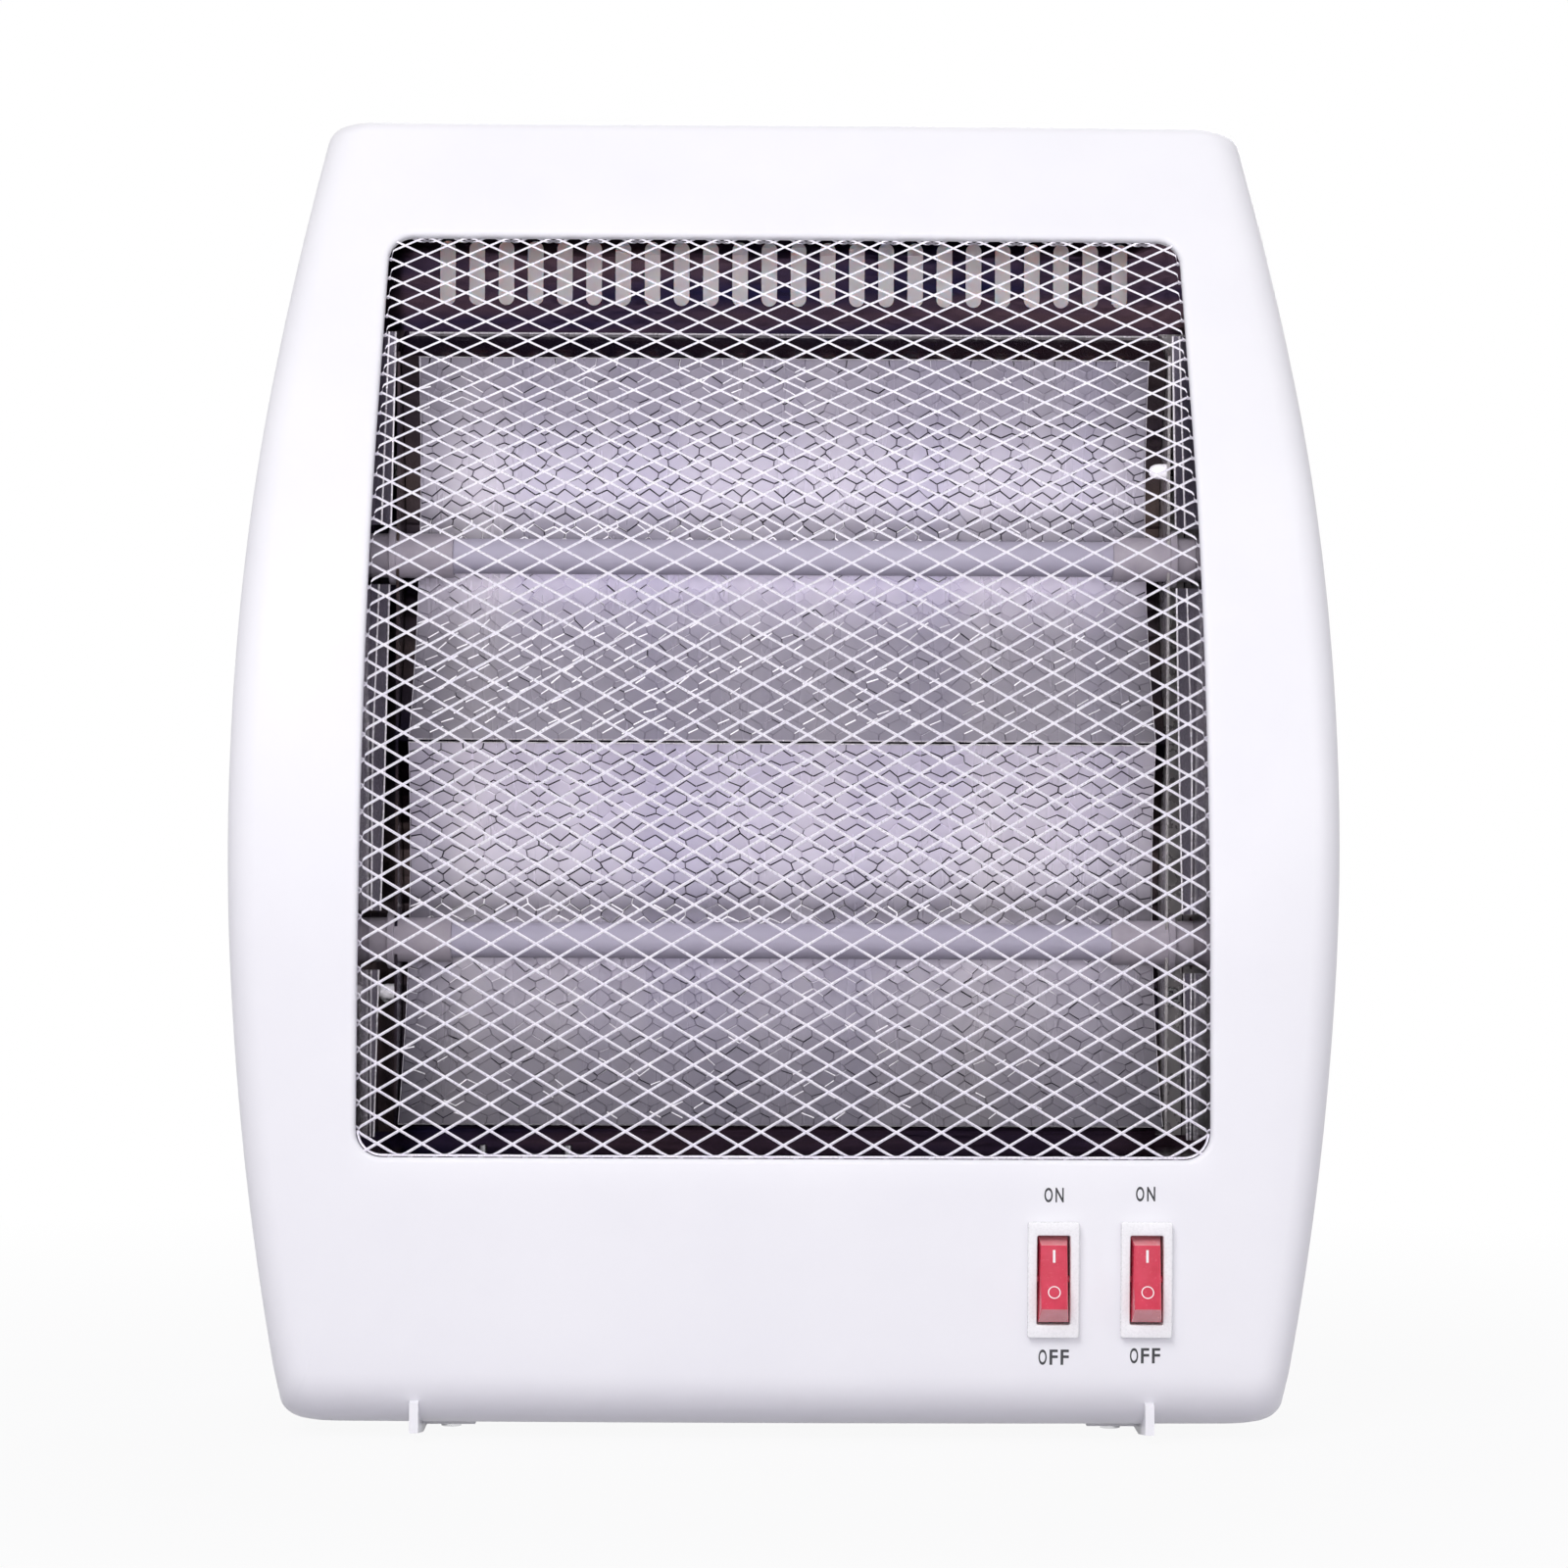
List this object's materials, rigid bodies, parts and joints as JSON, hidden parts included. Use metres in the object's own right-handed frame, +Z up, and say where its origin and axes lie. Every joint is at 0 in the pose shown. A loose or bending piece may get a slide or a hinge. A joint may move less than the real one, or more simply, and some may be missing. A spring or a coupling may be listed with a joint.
{
  "type": "electric bar heater",
  "caption": "Free-standing electric bar heater: horizontal quartz tubes before a hammered reflector, behind a diamond mesh that leans back, in a white body with rocker switches.",
  "frame": {"origin": "middle of the bounding box's underside, on the floor plane the foot blades stand on", "axes": "+X to the right seen from the front, +Y from the front to the back, +Z up"},
  "size_m": [0.3, 0.1468, 0.368],
  "materials": {
    "case_plastic": "satin white moulding",
    "mesh_wire": "bright plated wire",
    "sheet_aluminium": "polished, slightly clouded",
    "hammered_aluminium": "hammered and polished",
    "frosted_quartz": "frosted",
    "resistance_wire": "dull",
    "white_ceramic": "unglazed",
    "brass_tabs": "plain",
    "plated_steel": "zinc plated",
    "switch_plastic": "glossy white",
    "rocker_plastic": "glossy, slightly translucent red",
    "black_plastic": "plain black",
    "grey_plastic": "plain grey",
    "tan_phenolic": "phenolic moulding",
    "white_nylon": "plain",
    "red_insulation": "silicone insulation",
    "black_insulation": "silicone insulation"
  },
  "bodies": {
    "heater": {"front_cover": "case_plastic", "rear_cover": "case_plastic", "front_grille": "mesh_wire", "grille_clips": "plated_steel", "clip_screws": "plated_steel", "heat_shield": "sheet_aluminium", "shield_screws": "plated_steel", "reflector": "hammered_aluminium", "end_plate_left": "sheet_aluminium", "end_plate_right": "sheet_aluminium", "quartz_tube_upper": "frosted_quartz", "quartz_tube_lower": "frosted_quartz", "heating_coil_upper": "resistance_wire", "heating_coil_lower": "resistance_wire", "ceramic_cap_upper_left": "white_ceramic", "ceramic_cap_upper_right": "white_ceramic", "ceramic_cap_lower_left": "white_ceramic", "ceramic_cap_lower_right": "white_ceramic", "tube_terminals": "brass_tabs", "switch_housing_left": "switch_plastic", "switch_housing_right": "switch_plastic", "switch_contacts": "brass_tabs", "switch_terminals": "brass_tabs", "tip_switch_housing": "black_plastic", "tip_spring": "plated_steel", "microswitch": "black_plastic", "tip_switch_screws": "plated_steel", "thermal_cutout": "tan_phenolic", "cutout_screws": "plated_steel", "terminal_block": "white_nylon", "terminal_screws": "plated_steel", "cord_gland": "black_plastic", "cord_clamp": "white_nylon", "clamp_screws": "plated_steel", "tube_wires": "red_insulation", "supply_wires": "black_insulation", "foot_left": "case_plastic", "foot_right": "case_plastic", "foot_screws": "plated_steel", "case_screws": "plated_steel"},
    "rocker_left": {"rocker_left": "rocker_plastic"},
    "rocker_right": {"rocker_right": "rocker_plastic"},
    "tip_plunger": {"tip_plunger": "grey_plastic"}
  },
  "joints": [
    {"name": "rocker_left_tilt", "type": "hinge", "parent": "heater", "child": "rocker_left", "pos_m": [0.0719, -0.06584, 0.04434], "axis": [1, 0, 0], "range_deg": [0, 24]},
    {"name": "rocker_right_tilt", "type": "hinge", "parent": "heater", "child": "rocker_right", "pos_m": [0.0967, -0.06533, 0.04434], "axis": [1, 0, 0], "range_deg": [0, 24]},
    {"name": "tip_plunger_slide", "type": "slide", "parent": "heater", "child": "tip_plunger", "axis": [0, 0, -1], "range_m": [0, 0.005], "stiffness_N_per_m": 100, "springref_m": 0.012, "deforming": ["tip_spring"]}
  ]
}
